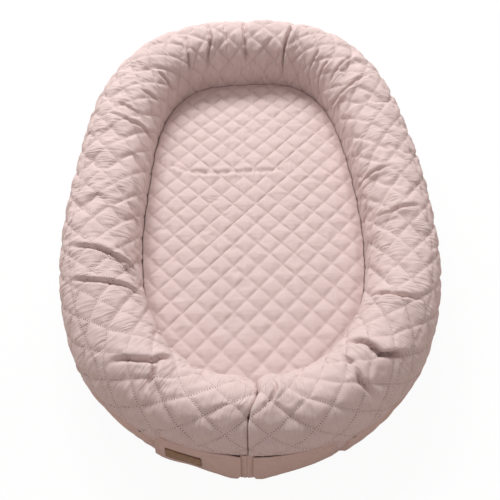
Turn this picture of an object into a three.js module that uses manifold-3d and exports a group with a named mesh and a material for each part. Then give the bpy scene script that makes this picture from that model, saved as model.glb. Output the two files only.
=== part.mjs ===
// Infant lounger: a stuffed roll in a quilted cover that bends round a loose quilted pad.
// Millimetres, +Z up. The foot end, where the roll's two ends meet, looks along -Y and the
// head end along +Y. The origin is on the floor at the middle of the overall size.

import * as THREE from 'three';
import { mergeVertices } from 'three/addons/utils/BufferGeometryUtils.js';
import Module from 'manifold-3d';

// Overall sizes
const overallLength = 892;
const overallWidth = 596;
const rollRadius = 61;

// Clearances
const seatGap = 0.3;
const seamGap = 0.4;
const padClearance = 1.2;

// Base panel under the whole lounger
const baseThickness = 3;

// Plan of the roll: an oval that is squarer at the head than at the foot
const headSquareness = 2.75;
const footSquareness = 2.45;
const footArcAngle = THREE.MathUtils.degToRad(19.4);
const planSamples = 900;
const searchShare = 0.25;
const searchSteps = 30;

// Section of the roll
const bottomHalfWidth = 30;
const outerSquareness = 2.4;
const innerSquareness = 3.2;
const seamAngle = THREE.MathUtils.degToRad(66);
const lowerRows = 3;
const sideRows = 3;
const topRows = 5;
const wellRows = 2;
const liningRowStep = 2;

// Quilting of the roll's cover: half the diagonal of a diamond along the roll
const rollQuiltStep = 24.5;
const quiltDepth = 4;
const coverThickness = 3;
const stripInset = 2;
const fillingClearance = 0.8;

// Ends of the roll, drawn in towards the seam where they meet
const endGap = 2.6;
const endDraw = 11;
const endDrawLength = 55;
const capThickness = 1.6;

// Folds gathered on the inner side where the roll bends
const gatherDepth = 6;
const gatherColumns = 3;
const gatheredBendRadius = 215;

// Foot bands: plain fabric below the quilting, curved about one vertical axis. They meet a
// little to the left of the middle
const meetingOffset = 13;
const bandTuck = 4;
const bandLean = 7;
const bandThickness = 1.6;
const bandLength = 130;
const bandFade = 150;
const hemHeight = 8;
const hemThickness = 3;
const lobeLength = 26;
const lobeTipShare = 0.25;
const bandSteps = 14;
const footSpread = 20;

// Strip that joins the two foot bands
const gussetWidth = 15;
const gussetThickness = 2.4;
const gussetInset = 5;
const gussetRidge = 1;
const gussetSeamWidth = 3;

// Hidden zips behind the bands' hems
const zipInset = 20;
const zipEndInset = 8;
const tapeThickness = 0.8;
const tapeClearance = 0.6;
const tapeLap = 8;
const tapeDrop = 9;
const chainDrop = 14;
const coilHeight = 2.2;
const coilThickness = 2.2;
const coilGap = 1.6;
const zipSteps = 12;
const pocketDepth = 23;
const pocketMargin = 30;

// Zip sliders and end stops
const sliderLength = 12;
const sliderNoseShare = 0.65;
const bridgeStartShare = 0.25;
const bridgeEndShare = 0.75;
const bridgeSlopeShare = 0.05;
const sliderHalfHeight = 4.6;
const sliderPlate = 1;
const sliderWeb = 0.8;
const bridgeHeight = 1;
const bridgeHalfHeight = 1.3;
const stopLength = 3;
const stopHalfHeight = 3.4;

// Leather label on the left band
const labelWidth = 51;
const labelHeight = 26;
const labelThickness = 1.4;
const labelFloor = 16;
const labelPlace = 87;
const labelSteps = 4;

// Loose pad: foam slab in a quilted cover
const padHeight = 33;
const padEdgeHeight = 22;
const padEdgeRound = 26;
const padQuiltAcross = 39.4;
const padQuiltAlong = 42.6;
const padQuiltDepth = 4;
const padWall = 6;
const padCeiling = 23;
const padFloorFabric = 2;
const padSeamHeight = 8;

// Merging distance for shared corners
const weld = 1e-4;

// Places that follow from the sizes above
const centreHalfLength = overallLength / 2 - rollRadius;
const centreHalfWidth = overallWidth / 2 - rollRadius;
const seatHeight = baseThickness + seatGap;
const slitHeight = seatHeight + rollRadius;
const coverBuild = quiltDepth + coverThickness;
const pocketReach = rollRadius - pocketDepth;
const slitRow = lowerRows;
const seamRow = slitRow + sideRows;
const innerRow = seamRow + topRows;
const lastRow = innerRow + wellRows;

const wasm = await Module();
wasm.setup();

// Distance of the roll's centre line from the middle, in a direction seen from above
function planRadius(angle) {
  const c = Math.cos(angle);
  const s = Math.sin(angle);
  const squareness = s > 0 ? headSquareness : footSquareness;
  const across = Math.abs(c / centreHalfWidth) ** squareness;
  const along = Math.abs(s / centreHalfLength) ** squareness;
  return (across + along) ** (-1 / squareness);
}

// Arc of the foot: it touches the centre line at the foot's middle and meets it again at the arc's end
const arcEndReach = planRadius(footArcAngle - Math.PI / 2);
const arcAcross = arcEndReach * Math.sin(footArcAngle);
const arcRise = centreHalfLength - arcEndReach * Math.cos(footArcAngle);
const footArcRadius = (arcAcross ** 2 + arcRise ** 2) / (2 * arcRise);
const footAxisY = footArcRadius - centreHalfLength;
const bandFloorRadius = footArcRadius + rollRadius - bandTuck;
const bandStart = (gussetWidth / 2 + seamGap) / bandFloorRadius;
const bandEnd = bandLength / bandFloorRadius;
const bandPlanLength = bandEnd * footArcRadius;

// Where the roll's two ends meet, as a turn about the foot's axis and as a direction from the middle
const meetingTurn = -meetingOffset / bandFloorRadius;
const meetingAngle = Math.atan2(
  footAxisY - footArcRadius * Math.cos(meetingTurn),
  footArcRadius * Math.sin(meetingTurn),
);

// Centre line of the roll seen from above, from the meeting line round the left side and back
class PlanLine extends THREE.Curve {
  getPoint(t, target = new THREE.Vector3()) {
    const angle = meetingAngle - t * 2 * Math.PI;
    const radius = planRadius(angle);
    return target.set(radius * Math.cos(angle), radius * Math.sin(angle), 0);
  }
}

const planLine = new PlanLine();
planLine.arcLengthDivisions = planSamples;
const planLength = planLine.getLength();
const columns = 2 * Math.round(planLength / (2 * rollQuiltStep));

// A place on the centre line: where it is, which way is outward and how the roll is drawn in there
function rollStation(distance) {
  const u = THREE.MathUtils.clamp(distance / planLength, 0, 1);
  const point = planLine.getPointAt(u);
  const tangent = planLine.getTangentAt(u);
  const fromEnd = Math.min(distance, planLength - distance);
  const endShare = Math.min(fromEnd / endDrawLength, 1);
  const drawn = endDraw * (1 - Math.sqrt(1 - (1 - endShare) ** 2));
  const foot = 1 - THREE.MathUtils.smoothstep(fromEnd, bandPlanLength, bandPlanLength + bandFade);
  return {
    x: point.x,
    y: point.y,
    outX: -tangent.y,
    outY: tangent.x,
    distance,
    drawn,
    lean: bandLean * foot,
    bottom: bottomHalfWidth + footSpread * foot,
    pocket: fromEnd < bandPlanLength + pocketMargin,
    gather: 0,
  };
}

// Distance along the centre line at which the roll's outer side comes abreast of an angle of the
// foot arc; side is -1 from the meeting line to the left and 1 to the right
function distanceAbreast(side, angle) {
  let [near, far] = [0, planLength * searchShare];
  for (let i = 0; i < searchSteps; i++) {
    const middle = (near + far) / 2;
    const { x, y, outX, outY } = rollStation(side < 0 ? middle : planLength - middle);
    const outer = rollRadius - bandLean;
    const turned = Math.atan2(x + outX * outer, footAxisY - (y + outY * outer)) - meetingTurn;
    if (side * turned < angle) near = middle;
    else far = middle;
  }
  return far;
}

// The roll's columns, with a gathered fold at every few columns in a bend
function rollColumns() {
  const step = (planLength - 2 * endGap) / columns;
  const stations = [];
  for (let i = 0; i <= columns; i++) stations.push(rollStation(endGap + i * step));
  stations.forEach((station, i) => {
    if (i === 0 || i === columns || i % gatherColumns !== 0) return;
    const before = stations[i - 1];
    const after = stations[i + 1];
    const turn = Math.abs(Math.asin(before.outX * after.outY - before.outY * after.outX)) / 2;
    station.gather = gatherDepth * Math.min(1, (turn * gatheredBendRadius) / step);
  });
  return stations;
}

// A point of the roll's section: rows run from the outer bottom edge over the crown to the inner one
function sectionPoint(station, row, inset) {
  const { drawn, lean, gather, bottom } = station;
  if (row < slitRow || row > innerRow) {
    const outer = row < slitRow;
    const turn = (outer ? 1 - row / lowerRows : (row - innerRow) / wellRows) * (Math.PI / 2);
    const power = 2 / (outer ? outerSquareness : innerSquareness);
    const reach = rollRadius - (outer ? lean : gather + drawn);
    const flat = Math.min(outer ? bottom : bottomHalfWidth, reach);
    const out = flat - inset + (reach - flat) * Math.cos(turn) ** power;
    return new THREE.Vector2(outer ? out : -out, slitHeight - rollRadius * Math.sin(turn) ** power);
  }
  const angle = row <= seamRow
    ? (seamAngle * (row - slitRow)) / sideRows
    : seamAngle + ((Math.PI - seamAngle) * (row - seamRow)) / topRows;
  const c = Math.cos(angle);
  const s = Math.sin(angle);
  const reach = rollRadius - inset - (c > 0 ? lean + drawn * s : gather + drawn);
  return new THREE.Vector2(reach * c, slitHeight + (rollRadius - inset - drawn) * s);
}

// Signed area of a triangle of flat points
function area(a, b, c) {
  return (b.x - a.x) * (c.y - a.y) - (b.y - a.y) * (c.x - a.x);
}

// Closed indexed geometry with its faces turned outward
function closed(positions, index) {
  const at = (i) => new THREE.Vector3().fromArray(positions, 3 * i);
  let volume = 0;
  for (let i = 0; i < index.length; i += 3) {
    volume += at(index[i]).dot(at(index[i + 1]).cross(at(index[i + 2])));
  }
  if (volume < 0) index.reverse();
  const geometry = new THREE.BufferGeometry();
  geometry.setAttribute('position', new THREE.Float32BufferAttribute(positions, 3));
  geometry.setIndex(index);
  return geometry;
}

// Solid through flat sections (out, up) that stand at a row of stations, closed at both ends
function sweep(stations, sectionAt, flip = () => false) {
  const sections = stations.map((station, i) => sectionAt(station, i));
  const count = sections[0].length;
  const positions = [];
  stations.forEach((station, i) => {
    for (const p of sections[i]) {
      positions.push(station.x + station.outX * p.x, station.y + station.outY * p.x, p.y);
    }
  });
  const index = [];
  for (let i = 0; i + 1 < stations.length; i++) {
    for (let j = 0; j < count; j++) {
      const a = i * count + j;
      const b = i * count + ((j + 1) % count);
      const c = a + count;
      const d = b + count;
      if (flip(i, j)) index.push(a, b, d, a, d, c);
      else index.push(a, b, c, b, d, c);
    }
  }
  const last = (stations.length - 1) * count;
  [[sections[0], 0, -1], [sections[sections.length - 1], last, 1]].forEach(([flat, start, side]) => {
    const winding = THREE.ShapeUtils.area(flat) * side;
    for (const [a, b, c] of THREE.ShapeUtils.triangulateShape(flat, [])) {
      if (area(flat[a], flat[b], flat[c]) * winding > 0) index.push(start + a, start + b, start + c);
      else index.push(start + a, start + c, start + b);
    }
  });
  return closed(positions, index);
}

// Solid and geometry forms for boolean cuts
function toSolid(geometry) {
  const bare = new THREE.BufferGeometry();
  bare.setAttribute('position', geometry.getAttribute('position'));
  if (geometry.index) bare.setIndex(geometry.index);
  const merged = mergeVertices(bare, weld);
  return new wasm.Manifold(new wasm.Mesh({
    numProp: 3,
    vertProperties: new Float32Array(merged.getAttribute('position').array),
    triVerts: new Uint32Array(merged.index.array),
  }));
}

function toGeometry(solid) {
  const mesh = solid.getMesh();
  const geometry = new THREE.BufferGeometry();
  geometry.setAttribute('position', new THREE.Float32BufferAttribute(mesh.vertProperties, 3));
  geometry.setIndex([...mesh.triVerts]);
  return geometry;
}

// Upright slab over an outline, between two heights
function slab(outline, low, high) {
  const geometry = new THREE.ExtrudeGeometry(new THREE.Shape(outline), {
    depth: high - low,
    bevelEnabled: false,
  });
  return geometry.translate(0, 0, low);
}

// Stitched crossings of the roll's quilting; the places between them are the diamonds' middles
function sunk(column, row) {
  return (column + row) % 2 === 0;
}

// Rows that the stuffed roll shares with the cover's lining: fewer over the crown
function liningRows(firstRow, endRow) {
  const rows = [];
  let row = firstRow;
  while (row <= endRow) {
    rows.push(row);
    row += row >= seamRow && row + liningRowStep < innerRow ? liningRowStep : 1;
  }
  return rows;
}

// Panel of the cover between two rows: quilted diamonds outside, plain lining inside
function coverPanel(stations, firstRow, endRow, quilted) {
  const rowGap = seamGap / 2 / rollQuiltStep;
  const rows = [];
  for (let row = firstRow; row <= endRow; row++) rows.push(row);
  const lining = liningRows(firstRow, endRow).reverse();
  const place = (row) => {
    if (row === firstRow && row > 0) return row + rowGap;
    return row === endRow && row < lastRow ? row - rowGap : row;
  };
  const sectionAt = (station, i) => [
    ...rows.map((row) => {
      const inset = quilted ? (sunk(i, row) ? quiltDepth : 0) : stripInset;
      return sectionPoint(station, place(row), inset);
    }),
    ...lining.map((row) => sectionPoint(station, place(row), coverBuild)),
  ];
  const flip = (i, j) => {
    if (j < rows.length) return sunk(i, rows[j]);
    return !sunk(i, lining[j - rows.length + 1] ?? firstRow);
  };
  return sweep(stations, sectionAt, flip);
}

// Stuffed inner roll, drawn in behind the foot bands to make room for the zips
function stuffedRoll(stations) {
  const rows = liningRows(0, lastRow);
  const sectionAt = (station) => pocketed(station, rows, coverBuild + fillingClearance);
  return sweep(stations, sectionAt, (i, j) => sunk(i, rows[j]));
}

// Section of the roll's inside, cut back where the zips need room
function pocketed(station, rows, inset) {
  return rows.map((row) => {
    const point = sectionPoint(station, row, inset);
    if (station.pocket && row <= slitRow) point.x = Math.min(point.x, pocketReach);
    return point;
  });
}

// Fabric disc that closes one end of the roll
function endCap(side) {
  const faces = [seamGap / 2, seamGap / 2 + capThickness];
  const stations = faces.map((distance) => rollStation(side < 0 ? distance : planLength - distance));
  return sweep(stations, (station) => pocketed(station, liningRows(0, lastRow), stripInset));
}

// Stations on arcs about the vertical axis of the foot, from one angle off the meeting line to
// another; angles grow to the right
function footStations(from, to, steps) {
  const stations = [];
  for (let i = 0; i <= steps; i++) {
    const angle = from + ((to - from) * i) / steps;
    const turned = angle + meetingTurn;
    stations.push({ x: 0, y: footAxisY, outX: Math.sin(turned), outY: -Math.cos(turned), angle });
  }
  return stations;
}

// Outer radius of a foot band at a height: it leans in upwards and swells at its lobe by the gusset
const lobeTip = bandStart + (lobeLength * lobeTipShare) / bandFloorRadius;
const lobeSwell = (overallLength / 2 + footAxisY) / Math.cos(lobeTip + meetingTurn) - bandFloorRadius;
function bandRadius(angle, height) {
  const along = (Math.abs(angle) - lobeTip) * bandFloorRadius;
  const lobe = lobeSwell * Math.exp(-((along / lobeLength) ** 2) * 2);
  const rise = (height - baseThickness) / (slitHeight - baseThickness);
  return bandFloorRadius - bandLean * rise + lobe * (1 - rise);
}

// Band with a folded hem along its top edge
function footBand(side) {
  const low = seatHeight;
  const high = slitHeight - seamGap;
  const hem = high - hemHeight;
  return sweep(footStations(side * bandStart, side * bandEnd, bandSteps), ({ angle }) => [
    new THREE.Vector2(bandRadius(angle, low), low),
    new THREE.Vector2(bandRadius(angle, hem), hem),
    new THREE.Vector2(bandRadius(angle, high), high),
    new THREE.Vector2(bandRadius(angle, high) - hemThickness, high),
    new THREE.Vector2(bandRadius(angle, hem) - hemThickness, hem),
    new THREE.Vector2(bandRadius(angle, hem) - bandThickness, hem),
    new THREE.Vector2(bandRadius(angle, low) - bandThickness, low),
  ]);
}

// Upright strip between the bands, with a raised seam down its middle
function gusset() {
  const half = gussetWidth / 2 / bandFloorRadius;
  const seam = gussetSeamWidth / 2 / bandFloorRadius;
  const stations = [-half, -seam, 0, seam, half].map((angle) => footStations(angle, angle, 1)[0]);
  const low = seatHeight;
  const high = slitHeight - seamGap;
  return sweep(stations, ({ angle }) => {
    const ridge = Math.abs(angle) < seam ? gussetRidge : 0;
    const place = (z, out) => new THREE.Vector2(bandRadius(bandStart, z) - gussetInset + out, z);
    const back = -gussetThickness;
    return [place(low, ridge), place(high, ridge), place(high, back), place(low, back)];
  });
}

// Zip places: the tapes hang inside the quilted panel's lower edge
const innerReach = rollRadius - bandLean - coverBuild;
const rowRise = (rollRadius - coverBuild) * Math.sin(seamAngle / sideRows);
const panelLean = (innerReach * (1 - Math.cos(seamAngle / sideRows)) * tapeLap) / rowRise;
const tapeOuter = footArcRadius + innerReach - panelLean - tapeClearance;
const tapeMiddle = tapeOuter - tapeThickness / 2;
const chainHeight = slitHeight - chainDrop;
const coilLow = coilGap / 2;
const coilHigh = coilLow + coilHeight;
const zipStart = bandStart + zipInset / bandFloorRadius;
const zipEnd = bandEnd - zipEndInset / bandFloorRadius;

// One tape with its row of coil along the edge; up is 1 for the upper tape and -1 for the lower
function zipTape(side, up) {
  const edge = up > 0 ? slitHeight + tapeLap - chainHeight : coilHigh + tapeDrop;
  const section = [
    [coilThickness / 2, coilLow], [coilThickness / 2, coilHigh], [tapeThickness / 2, coilHigh],
    [tapeThickness / 2, edge], [-tapeThickness / 2, edge], [-tapeThickness / 2, coilHigh],
    [-coilThickness / 2, coilHigh], [-coilThickness / 2, coilLow],
  ].map(([out, rise]) => new THREE.Vector2(tapeMiddle + out, chainHeight + up * rise));
  return sweep(footStations(side * zipStart, side * zipEnd, zipSteps), () => section);
}

// Slider: two plates joined by a web between the coils, with a low bridge on the front
function zipSlider(side) {
  const back = coilThickness / 2 + seatGap;
  const start = zipStart + seatGap / tapeMiddle;
  const lengthShares = [
    0, bridgeStartShare, bridgeStartShare + bridgeSlopeShare,
    bridgeEndShare - bridgeSlopeShare, bridgeEndShare, 1,
  ];
  const stations = lengthShares.map((share) => (
    { ...footStations(side * (start + (share * sliderLength) / tapeMiddle), 0, 1)[0], share }
  ));
  return sweep(stations, ({ share }) => {
    const nose = 1 - (1 - sliderNoseShare) * THREE.MathUtils.smoothstep(share, 1 / 2, 1);
    const half = sliderHalfHeight * nose;
    const bridge = share > bridgeStartShare && share < bridgeEndShare ? bridgeHeight : 0;
    const front = back + sliderPlate;
    const outline = [
      [-front, -half], [-back, -half], [-back, -sliderWeb / 2], [back, -sliderWeb / 2],
      [back, -half], [front, -half], [front + bridge, -bridgeHalfHeight],
      [front + bridge, bridgeHalfHeight], [front, half], [back, half], [back, sliderWeb / 2],
      [-back, sliderWeb / 2], [-back, half], [-front, half],
    ];
    return outline.map(([out, up]) => new THREE.Vector2(tapeMiddle + out, chainHeight + up));
  });
}

// Small block that ends the coils
function zipStop(side, atEnd) {
  const gap = seatGap / tapeMiddle;
  const size = stopLength / tapeMiddle;
  const from = atEnd ? zipEnd + gap : zipStart - gap - size;
  return sweep(footStations(side * from, side * (from + size), 1), () => [
    new THREE.Vector2(tapeMiddle - coilThickness / 2, chainHeight - stopHalfHeight),
    new THREE.Vector2(tapeMiddle + coilThickness / 2, chainHeight - stopHalfHeight),
    new THREE.Vector2(tapeMiddle + coilThickness / 2, chainHeight + stopHalfHeight),
    new THREE.Vector2(tapeMiddle - coilThickness / 2, chainHeight + stopHalfHeight),
  ]);
}

// Bare leather label, curved with the left band that it is sewn to
function label() {
  const from = -(labelPlace - labelWidth / 2) / bandFloorRadius;
  const to = -(labelPlace + labelWidth / 2) / bandFloorRadius;
  const low = labelFloor;
  const high = labelFloor + labelHeight;
  return sweep(footStations(from, to, labelSteps), ({ angle }) => [
    new THREE.Vector2(bandRadius(angle, low) + seatGap, low),
    new THREE.Vector2(bandRadius(angle, low) + seatGap + labelThickness, low),
    new THREE.Vector2(bandRadius(angle, high) + seatGap + labelThickness, high),
    new THREE.Vector2(bandRadius(angle, high) + seatGap, high),
  ]);
}

// Stations from one band's end round the head to the other's, as the plain lower strip runs
function stripStations(stations) {
  const abreast = bandEnd + seamGap / bandFloorRadius;
  const start = distanceAbreast(-1, abreast);
  const end = planLength - distanceAbreast(1, abreast);
  const margin = rollQuiltStep / 2;
  const between = stations.filter(({ distance }) => distance > start + margin && distance < end - margin);
  return [rollStation(start), ...between, rollStation(end)];
}

// Base panel: follows the roll's outer bottom edge and, at the foot, the bands and their notch
function basePanel(stations) {
  const outline = [];
  for (const { x, y, outX, outY, bottom } of stripStations(stations)) {
    outline.push(new THREE.Vector2(x + outX * bottom, y + outY * bottom));
  }
  const notchRadius = bandRadius(bandStart, baseThickness) - gussetInset;
  const onArc = (arc, reach) => arc.forEach(({ outX, outY, angle }) => {
    const radius = reach ?? bandRadius(angle, baseThickness);
    outline.push(new THREE.Vector2(outX * radius, footAxisY + outY * radius));
  });
  onArc(footStations(bandEnd, bandStart, bandSteps));
  onArc(footStations(bandStart, -bandStart, 1), notchRadius);
  onArc(footStations(-bandStart, -bandEnd, bandSteps));
  return slab(outline, 0, baseThickness);
}

// Outline of the pad: just inside the roll's innermost line, drawn in by a margin
function padOutline(stations, margin) {
  return stations.map(({ x, y, outX, outY, drawn }) => {
    const reach = rollRadius - drawn + padClearance + margin;
    return new THREE.Vector2(x - outX * reach, y - outY * reach);
  });
}

// Distance from a point to the nearest side of an outline, 0 outside it
function depthInside(outline, x, y) {
  let inside = false;
  let nearest = Infinity;
  outline.forEach((a, i) => {
    const b = outline[(i + 1) % outline.length];
    if ((a.y > y) !== (b.y > y) && x < ((b.x - a.x) * (y - a.y)) / (b.y - a.y) + a.x) inside = !inside;
    const dx = b.x - a.x;
    const dy = b.y - a.y;
    const t = THREE.MathUtils.clamp(((x - a.x) * dx + (y - a.y) * dy) / (dx * dx + dy * dy), 0, 1);
    nearest = Math.min(nearest, Math.hypot(a.x + t * dx - x, a.y + t * dy - y));
  });
  return inside ? nearest : 0;
}

// Block whose top is a quilted crown that rounds down to the outline
function quiltedBlock(outline, low) {
  const stepX = padQuiltAcross / 2;
  const stepY = padQuiltAlong / 2;
  const countX = 2 * Math.ceil((centreHalfWidth - rollRadius) / (2 * stepX)) + 2;
  const countY = 2 * Math.ceil((centreHalfLength - rollRadius) / (2 * stepY)) + 2;
  const width = 2 * countX + 1;
  const positions = [];
  const base = seatHeight;
  for (let j = -countY; j <= countY; j++) {
    for (let i = -countX; i <= countX; i++) {
      const depth = depthInside(outline, i * stepX, j * stepY);
      const round = THREE.MathUtils.smoothstep(depth, 0, padEdgeRound);
      const sink = sunk(i + countX, j + countY) ? padQuiltDepth * round : 0;
      const top = base + padEdgeHeight + (padHeight - padEdgeHeight) * round - sink;
      positions.push(i * stepX, j * stepY, top);
    }
  }
  const layer = positions.length / 3;
  for (let k = 0; k < layer; k++) positions.push(positions[3 * k], positions[3 * k + 1], low);
  const index = [];
  const cell = (a, b, c, d) => index.push(a, b, c, b, d, c);
  for (let j = 0; j < 2 * countY; j++) {
    for (let i = 0; i < 2 * countX; i++) {
      const a = j * width + i;
      const [b, c, d] = [a + 1, a + width, a + width + 1];
      if (sunk(i, j)) index.push(a, b, d, a, d, c);
      else cell(a, b, c, d);
      cell(layer + a, layer + c, layer + b, layer + d);
    }
  }
  for (let i = 0; i < 2 * countX; i++) {
    const far = 2 * countY * width + i;
    cell(i, i + layer, i + 1, i + 1 + layer);
    cell(far + 1, far + 1 + layer, far, far + layer);
  }
  for (let j = 0; j < 2 * countY; j++) {
    const left = j * width;
    const right = left + width - 1;
    cell(left + width, left + width + layer, left, left + layer);
    cell(right, right + layer, right + width, right + width + layer);
  }
  return closed(positions, index);
}

// Pad: quilted upper cover, foam slab and a shallow lower cover
function padPieces(stations) {
  const outline = padOutline(stations, 0);
  const inner = padOutline(stations, padWall);
  const foam = padOutline(stations, padWall + seatGap);
  const base = seatHeight;
  const seam = base + padSeamHeight;
  const ceiling = base + padCeiling;
  const block = toSolid(quiltedBlock(outline, seam + seamGap));
  const top = block
    .intersect(toSolid(slab(outline, base, base + padHeight + rollRadius)))
    .subtract(toSolid(slab(inner, base, ceiling)));
  const tray = toSolid(slab(outline, base, seam))
    .subtract(toSolid(slab(inner, base + padFloorFabric, base + padHeight)));
  return {
    top: toGeometry(top),
    core: slab(foam, base + padFloorFabric + seatGap, ceiling - seatGap),
    bottom: toGeometry(tray),
  };
}

// Finishes
const finishes = {
  pinkCotton: { color: 0xd8b4b1, roughness: 0.9, metalness: 0 },
  plainCotton: { color: 0xcaa3a0, roughness: 0.9, metalness: 0 },
  whiteFill: { color: 0xf0eeea, roughness: 1, metalness: 0 },
  foam: { color: 0xf3ead2, roughness: 1, metalness: 0 },
  leather: { color: 0x8a6443, roughness: 0.6, metalness: 0 },
  zipCoil: { color: 0xc29a97, roughness: 0.6, metalness: 0 },
  zipMetal: { color: 0xb9a9a6, roughness: 0.35, metalness: 0.9 },
};

const lounger = new THREE.Group();

function add(name, geometry, finish) {
  const mesh = new THREE.Mesh(geometry, new THREE.MeshStandardMaterial(finishes[finish]));
  mesh.name = name;
  lounger.add(mesh);
}

const roll = rollColumns();
const pad = padPieces(roll);

add('base_panel', basePanel(roll), 'plainCotton');
add('inner_roll', stuffedRoll(roll), 'whiteFill');
add('cover_top_panel', coverPanel(roll, seamRow, lastRow, true), 'pinkCotton');
add('cover_side_panel', coverPanel(roll, slitRow, seamRow, true), 'pinkCotton');
add('cover_lower_strip', coverPanel(stripStations(roll), 0, slitRow, false), 'plainCotton');
add('foot_gusset', gusset(), 'plainCotton');
add('label_patch', label(), 'leather');
add('pad_upper_cover', pad.top, 'pinkCotton');
add('pad_foam', pad.core, 'foam');
add('pad_lower_cover', pad.bottom, 'plainCotton');

[['left', -1], ['right', 1]].forEach(([hand, side]) => {
  add(`roll_end_cap_${hand}`, endCap(side), 'pinkCotton');
  add(`foot_band_${hand}`, footBand(side), 'plainCotton');
  add(`zip_upper_tape_${hand}`, zipTape(side, 1), 'zipCoil');
  add(`zip_lower_tape_${hand}`, zipTape(side, -1), 'zipCoil');
  add(`zip_slider_${hand}`, zipSlider(side), 'zipMetal');
  add(`zip_inner_stop_${hand}`, zipStop(side, false), 'zipMetal');
  add(`zip_outer_stop_${hand}`, zipStop(side, true), 'zipMetal');
});

export default lounger;
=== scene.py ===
import math

import bpy
import numpy as np
from mathutils import Matrix


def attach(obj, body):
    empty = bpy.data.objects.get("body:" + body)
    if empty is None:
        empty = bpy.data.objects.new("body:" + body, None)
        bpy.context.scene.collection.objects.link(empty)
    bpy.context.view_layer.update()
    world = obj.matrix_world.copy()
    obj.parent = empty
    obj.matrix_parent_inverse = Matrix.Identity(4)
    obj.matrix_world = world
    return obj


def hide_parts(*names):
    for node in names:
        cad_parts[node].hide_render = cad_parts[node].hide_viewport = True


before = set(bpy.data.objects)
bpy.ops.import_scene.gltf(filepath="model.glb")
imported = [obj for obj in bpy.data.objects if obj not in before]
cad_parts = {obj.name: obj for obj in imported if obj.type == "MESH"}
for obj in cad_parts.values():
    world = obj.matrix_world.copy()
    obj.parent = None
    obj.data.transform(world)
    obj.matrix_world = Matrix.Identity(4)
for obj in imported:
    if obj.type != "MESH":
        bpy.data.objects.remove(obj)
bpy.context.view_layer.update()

# The infant lounger's looks: a quilted roll, its plain foot bands and a loose quilted pad.
# Metres, +Z up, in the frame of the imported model. Distances along the roll run from the
# meeting line at the foot round the left side and the head, back to the meeting line.

rng = np.random.default_rng(7)

# Plan and section of the roll, as the solids have them
HALF_WIDTH, HALF_LENGTH, ROLL_R = 0.237, 0.385, 0.061
HEAD_SQUARE, FOOT_SQUARE = 2.75, 2.45
SEAT, SLIT_Z = 0.0033, 0.0643
BOTTOM_HALF, FOOT_SPREAD = 0.030, 0.018
OUTER_POWER, INNER_POWER = 2 / 2.4, 2 / 3.2
SEAM_ANGLE = math.radians(66)
SEAM_AT, SEAM_FADE = 0.0545, (0.13, 0.21)
COLUMNS, SIDE_ROWS, CROWN_ROWS = 84, 3, 5
CELLS = 9

# The foot's bands and zips lie on arcs about one vertical axis
ARC_R, AXIS_Y, FLOOR_R = 0.24143, -0.14357, 0.29843
MEETING_TURN = -0.04356
BAND_START, BAND_END = 0.02647, 0.43562
BAND_LEAN, BAND_FADE = 0.007, (0.352, 1.15)
BASE_TOP, BAND_LOW, BAND_HIGH, HEM, ZIP_Z = 0.003, 0.0033, 0.0639, 0.008, 0.0503
CLOTH_THICK, HEM_EXTRA, GUSSET_THICK, LABEL_THICK, LABEL_GAP = 0.0016, 0.0006, 0.0018, 0.0012, 0.0002
BAND_WAVES = [(0.024, 0.0006, 0.2, 1.1), (0.037, 0.0008, -0.3, 4.0), (0.016, 0.0003, 0.5, 2.6)]
RIGHT_DRAWN, LEFT_DRAWN, LEFT_LEAN = 0.0068, 0.0036, 0.0016
LOBE_TIP, LOBE_SWELL, LOBE_LENGTH = 0.04825, 0.0040, 0.026
LABEL_PLACE, LABEL_WIDTH, LABEL_LOW, LABEL_HIGH = 0.087, 0.051, 0.0165, 0.0425

# How the photographed roll strays from the solid's, in mm: 1, cos, sin, cos of twice the angle, ...
DRIFT = (1.9, 1.98, -3.15, 0.9, 0.41, 0.2, -1.65, -1.96, -0.86, 0.18, 0.39, 1.29, 0.75)
SWELL = (-0.66, -3.15, -1.34, -3.38, 0.35, 0.44, 0.76, 0.99, -0.04)

# The roll's two ends, pushed together at the foot
END_GAP = 0.0004
END_LENGTH_LEFT, END_LENGTH_RIGHT = 0.042, 0.020
END_DRAW_OUTER, END_DRAW_INNER = 0.006, 0.014
END_LEAN = 0.013

# The roll's cloth: how much longer it is cut than the roll, how far its stitched lines draw it in,
# broadly and tightly, how high it gathers, how far it is tucked in over the bands, and how far the
# simulation may move it
CLOTH_LONGER = 0.036
BROAD_DRAW, BROAD_WIDTH = 0.0021, 0.0050
TIGHT_DRAW, TIGHT_WIDTH = 0.0011, 0.0020
GATHER_HEIGHT = 0.0011
TUCK_LEFT, TUCK_RIGHT = 0.0064, 0.0046
MOST_MOVE = 0.011

# What the cloth simulations share
CLOTH_SETTINGS = {
    "vertex_group_mass": "pin", "use_pressure": True, "quality": 4, "mass": 0.3, "air_damping": 2,
    "pin_stiffness": 1.0, "tension_stiffness": 15, "compression_stiffness": 15, "shear_stiffness": 4,
}

# How far a panel's edges are rounded off, as a share of its thickness
EDGE_SHARE = 0.35

# The pad: stitched in squares whose diagonals run along and across it. PAD_SIM is how many cells of
# its simulated cloth fit along a square's side
PAD_X, PAD_Y, PAD_AT = 0.0197, 0.02129, (-0.0277, -0.0371)
PAD_SPACING, PAD_SIM = 0.0289, 8
PAD_TOP, PAD_LOW, PAD_ROUND, PAD_RIM, PAD_GAP = 0.0350, 0.0036, 0.016, 0.0015, 0.0002

# Colours: quilted cloth and plain cloth, each with its deeper threads, and the surroundings
PINK, PINK_DEEP = (0.680, 0.562, 0.546), (0.615, 0.496, 0.478)
PLAIN, PLAIN_DEEP = (0.650, 0.497, 0.455), (0.585, 0.436, 0.394)
WHITE, AIR, FLOOR = (1, 1, 1), (0.54, 0.472, 0.456), (0.64, 0.55, 0.48)


def smooth(x, a=0.0, b=1.0):
    t = np.clip((np.asarray(x, float) - a) / (b - a), 0, 1)
    return t * t * (3 - 2 * t)


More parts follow.
